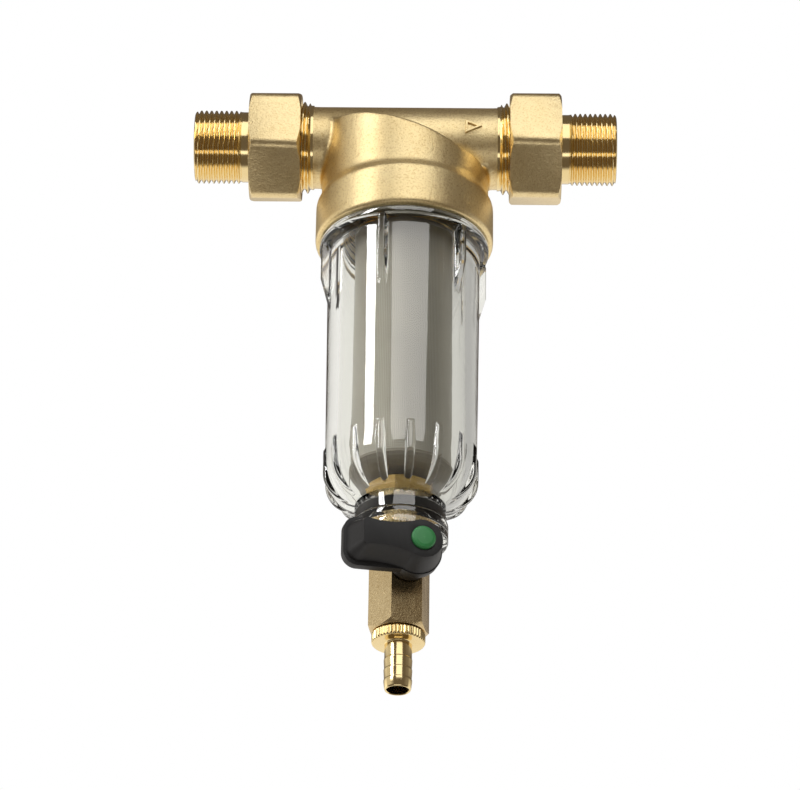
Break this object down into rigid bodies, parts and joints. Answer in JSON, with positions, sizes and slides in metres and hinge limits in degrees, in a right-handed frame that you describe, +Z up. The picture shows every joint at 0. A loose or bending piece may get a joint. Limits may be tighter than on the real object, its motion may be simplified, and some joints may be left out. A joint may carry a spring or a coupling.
{
  "type": "magnetic system filter",
  "caption": "In-line water filter with a brass head, union ends, a clear bowl over a mesh cartridge and magnet rod, and a lever ball valve with a hose nozzle below.",
  "frame": {"origin": "the point where the pipe run's centre line meets the bowl's centre line", "axes": "+X along the pipe run toward the outlet, the way the water flows; +Z up along the bowl's centre line, so the bowl hangs toward -Z; -Y is the side the drain valve's lever is on"},
  "size_m": [0.1524, 0.0648, 0.2363],
  "materials": {
    "cast_brass": "fine cast, satin",
    "turned_brass": "turned, bright",
    "valve_brass": "drawn bar, bright",
    "clear_plastic": "clear moulded plastic",
    "black_rubber": "matte",
    "fibre_gasket": "matte fibre",
    "steel_mesh": "woven stainless cloth",
    "dark_plastic": "matte",
    "steel": "bright",
    "magnet": "nickel plated",
    "ptfe": "smooth",
    "plated_ball": "polished",
    "lever_black": "fine satin",
    "button_green": "satin"
  },
  "bodies": {
    "head": {"head_body": "cast_brass", "screen_top_o_ring": "black_rubber"},
    "inlet_tail": {"inlet_tailpiece": "turned_brass", "inlet_gasket": "fibre_gasket"},
    "inlet_nut": {"inlet_union_nut": "cast_brass"},
    "outlet_tail": {"outlet_tailpiece": "turned_brass", "outlet_gasket": "fibre_gasket"},
    "outlet_nut": {"outlet_union_nut": "cast_brass"},
    "cartridge": {"screen_top_ring": "dark_plastic", "screen_mesh": "steel_mesh", "screen_support_cage": "dark_plastic", "screen_bottom_cap": "dark_plastic", "magnet_sleeve": "steel", "magnet_end_plug": "steel", "magnet_a": "magnet", "magnet_b": "magnet", "magnet_c": "magnet", "magnet_d": "magnet", "pole_disc_a": "steel", "pole_disc_b": "steel", "pole_disc_c": "steel"},
    "bowl": {"filter_bowl": "clear_plastic", "bowl_o_ring": "black_rubber", "valve_body": "valve_brass", "valve_lock_nut": "turned_brass", "valve_body_seal": "black_rubber", "upper_ball_seat": "ptfe", "lower_ball_seat": "ptfe", "seat_retainer": "turned_brass", "thrust_washer": "ptfe", "stem_gland": "turned_brass"},
    "lever": {"handle": "lever_black", "handle_screw": "steel", "handle_cap": "button_green", "valve_stem": "turned_brass", "stem_o_ring": "black_rubber", "ball": "plated_ball"},
    "nozzle_carrier": {"nozzle_gasket": "black_rubber"},
    "nozzle": {"hose_nozzle": "turned_brass"}
  },
  "joints": [
    {"name": "inlet_tail_slide", "type": "slide", "parent": "head", "child": "inlet_tail", "axis": [-1, 0, 0], "range_m": [0, 0.008]},
    {"name": "inlet_nut_turn", "type": "hinge", "parent": "inlet_tail", "child": "inlet_nut", "pos_m": [-0.047, 0, 0], "axis": [-1, 0, 0], "range_deg": [0, 1250]},
    {"name": "outlet_tail_slide", "type": "slide", "parent": "head", "child": "outlet_tail", "axis": [1, 0, 0], "range_m": [0, 0.008]},
    {"name": "outlet_nut_turn", "type": "hinge", "parent": "outlet_tail", "child": "outlet_nut", "pos_m": [0.047, 0, 0], "axis": [1, 0, 0], "range_deg": [0, 1250]},
    {"name": "bowl_drop", "type": "slide", "parent": "head", "child": "cartridge", "axis": [0, 0, -1], "range_m": [0, 0.0121]},
    {"name": "bowl_turn", "type": "hinge", "parent": "cartridge", "child": "bowl", "pos_m": [0, 0, -0.042], "axis": [0, 0, -1], "range_deg": [0, 1440]},
    {"name": "lever_turn", "type": "hinge", "parent": "bowl", "child": "lever", "pos_m": [0, 0, -0.1713], "axis": [0.2924, -0.9563, 0], "range_deg": [0, 90]},
    {"name": "nozzle_drop", "type": "slide", "parent": "bowl", "child": "nozzle_carrier", "axis": [0, 0, -1], "range_m": [0, 0.01]},
    {"name": "nozzle_turn", "type": "hinge", "parent": "nozzle_carrier", "child": "nozzle", "pos_m": [0, 0, -0.1943], "axis": [0, 0, -1], "range_deg": [0, 2680]}
  ],
  "couplings": [
    {"joint": "inlet_nut_turn", "follows": "inlet_tail_slide", "rad_per_m": 2721.2},
    {"joint": "outlet_nut_turn", "follows": "outlet_tail_slide", "rad_per_m": 2721.2},
    {"joint": "bowl_drop", "follows": "bowl_turn", "m_per_rad": 0.00047746},
    {"joint": "nozzle_drop", "follows": "nozzle_turn", "m_per_rad": 0.00021327}
  ]
}
